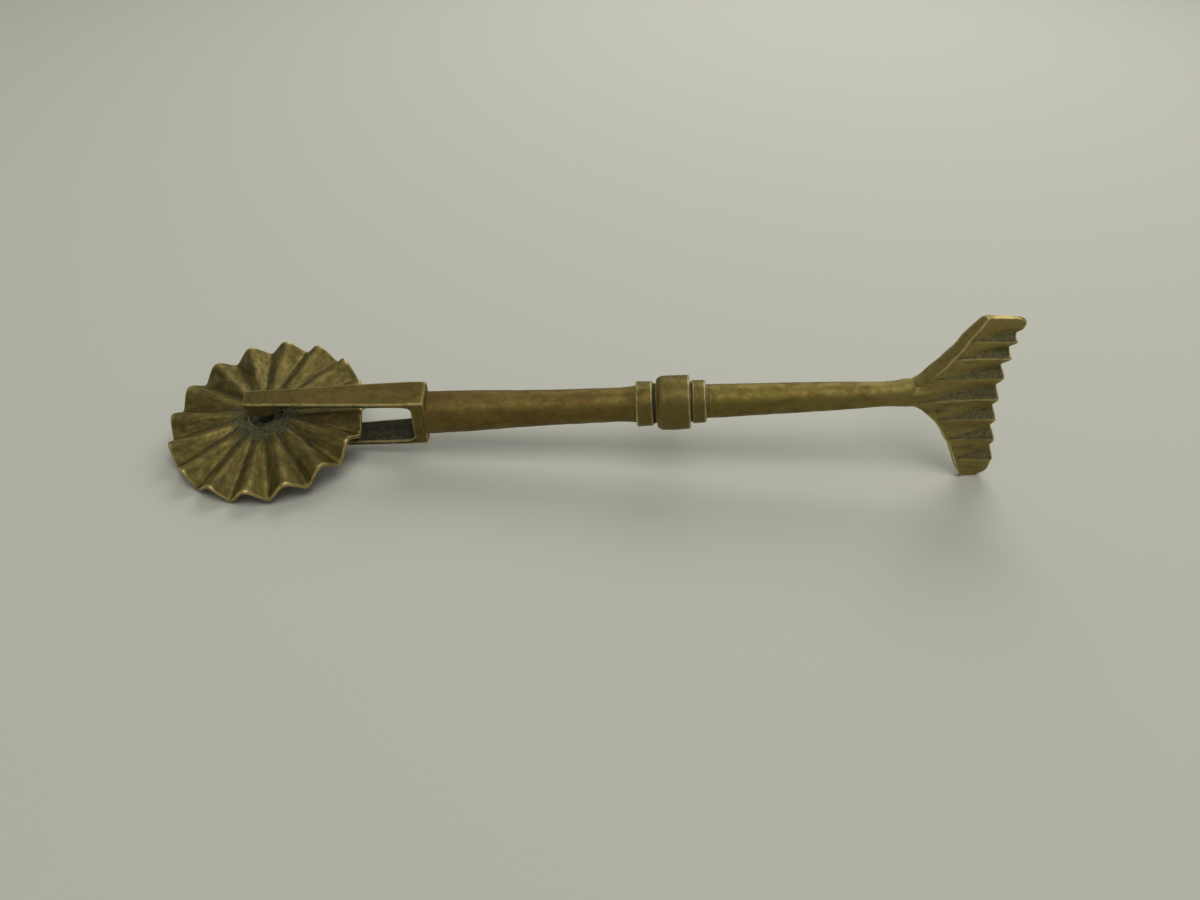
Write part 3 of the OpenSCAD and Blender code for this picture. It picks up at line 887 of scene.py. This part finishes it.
def tail_dirt_and_shade(x, y, z):
    """Grey-green grime and painted shade on the flanks that face the far arm, fading out at the inner
    outline.
    """
    c, sn = math.cos(TAIL_TURN), math.sin(TAIL_TURN)
    s = y * c + z * sn
    t = clamp01((x - inner_at(s)) / max(0.5, edge_at(s) - inner_at(s)))
    flank = 0.0
    for k in range(WAVES):
        top, low = crest_s(k), crest_s(k + 1)
        if low < s <= top and not (k == WAVES - 1 and s < crest_s(k) - 2.2):
            valley = mix(low, top, valley_share(k) * (0.2 + 0.8 * t))
            if s < valley:
                flank = ease((valley - s) / 0.25) * ease((s - low) / 0.22)
    return 0.70 * flank * ease((t + 0.02) * 7) ** 0.7


def build_tail():
    per_line = 8
    lines = [k / per_line for k in range(per_line * (2 * WAVES - 1) + 1)]
    steps = [0.0, 0.012, 0.03, 0.05, 0.075] + [0.075 + 0.925 * k / 42 for k in range(1, 43)]
    turns = [k / 8 for k in range(1, 8)]
    loops = []
    for line in lines:
        loop = [tail_point(line, t, 1) for t in steps]
        x, s, w = loop[-1]
        back_w = tail_point(line, 1, -1)[2]
        loop += [(x + 0.12 * math.sin(math.pi * k / 4), s, mix(w, back_w, k / 4)) for k in (1, 2, 3)]
        loop += [tail_point(line, t, -1) for t in reversed(steps)]
        loop += [tail_band(line, turn) for turn in reversed(turns)]
        loops.append(loop)
    rows, cols = len(loops), len(loops[0])
    # The two tips are closed with a slightly rounded end.
    for tip, inward in ((0, 1), (rows - 1, -1)):
        middle = sum(p[2] for p in loops[tip]) / cols
        loops[tip] = [(p[0], p[1] - inward * 0.05, mix(p[2], middle, 0.22)) for p in loops[tip]]
    verts = [tail_to_local(*p) for loop in loops for p in loop]
    faces = grid_faces(rows, cols, wrap_cols=True)
    faces += [tuple(range(cols)), tuple(range((rows - 1) * cols, rows * cols))]

    def at_root(x, y, z):
        return ease((TAIL_X + 4.5 - x) / 2.5)

    piece("fishtail_plate", verts, faces, MATERIALS["tail"], "handle", ["fishtail_crimper"],
          tail_dirt_and_shade, smooth_angle=34, rounds=1, hidden_seam=at_root)


build_tail()

# ---------------------------------------------------------------- floor, light and camera
FLOOR_GAP = 0.00002
FLOOR_COLOUR = (0.56, 0.56, 0.50, 1)
LIGHT_COLOUR = (1.0, 0.99, 0.95)
SKY_COLOUR = (0.93, 0.95, 0.90, 1)


def build_floor():
    bm = bmesh.new()
    bmesh.ops.create_grid(bm, x_segments=2, y_segments=2, size=1.6)
    mesh = bpy.data.meshes.new("floor")
    bm.to_mesh(mesh)
    bm.free()
    floor = bpy.data.objects.new("floor", mesh)
    floor.location.z = cad_box[0][2] - FLOOR_GAP
    bpy.context.scene.collection.objects.link(floor)
    mat, tree, shader = shader_nodes("floor_plain")
    shader.inputs["Base Color"].default_value = FLOOR_COLOUR
    shader.inputs["Roughness"].default_value = 0.9
    shader.inputs["Specular IOR Level"].default_value = 0.15
    mesh.materials.append(mat)


def area_light(name, place, size, power):
    """A soft round light aimed at the origin."""
    data = bpy.data.lights.new(name, "AREA")
    data.shape = "DISK"
    data.size = size
    data.energy = power
    data.color = LIGHT_COLOUR
    light = bpy.data.objects.new(name, data)
    light.location = place
    light.rotation_euler = (-Vector(place)).to_track_quat("-Z", "Y").to_euler()
    bpy.context.scene.collection.objects.link(light)


build_floor()
area_light("overhead", (0.15, -0.42, 1.05), 0.70, 4.9)
area_light("window", (0.10, 0.36, 0.34), 0.36, 0.92)

world = bpy.data.worlds.new("studio")
world.use_nodes = True
world.node_tree.nodes["Background"].inputs["Color"].default_value = SKY_COLOUR
world.node_tree.nodes["Background"].inputs["Strength"].default_value = 0.28
bpy.context.scene.world = world
bpy.context.scene.view_settings.view_transform = "Standard"

# The camera: where it looks at the floor, from how far, and its three angles.
CAMERA_AIM = Vector((0.00336, 0.0033, 0.0))
CAMERA_DISTANCE = 0.2118
CAMERA_ELEVATION = math.radians(37.5)
CAMERA_AZIMUTH = math.radians(1.47)
CAMERA_ROLL = math.radians(1.36)
CAMERA_LENS = 32.8
camera_data = bpy.data.cameras.new("camera")
camera_data.lens = CAMERA_LENS
camera_data.sensor_width = 36
camera_data.clip_start = 0.005
camera = bpy.data.objects.new("camera", camera_data)
turn = Euler((math.pi / 2 - CAMERA_ELEVATION, 0, CAMERA_AZIMUTH)).to_matrix()
turn = turn @ Matrix.Rotation(CAMERA_ROLL, 3, "Z")
camera.matrix_world = Matrix.Translation(CAMERA_AIM + turn @ Vector((0, 0, CAMERA_DISTANCE))) @ turn.to_4x4()
bpy.context.scene.collection.objects.link(camera)
bpy.context.scene.camera = camera
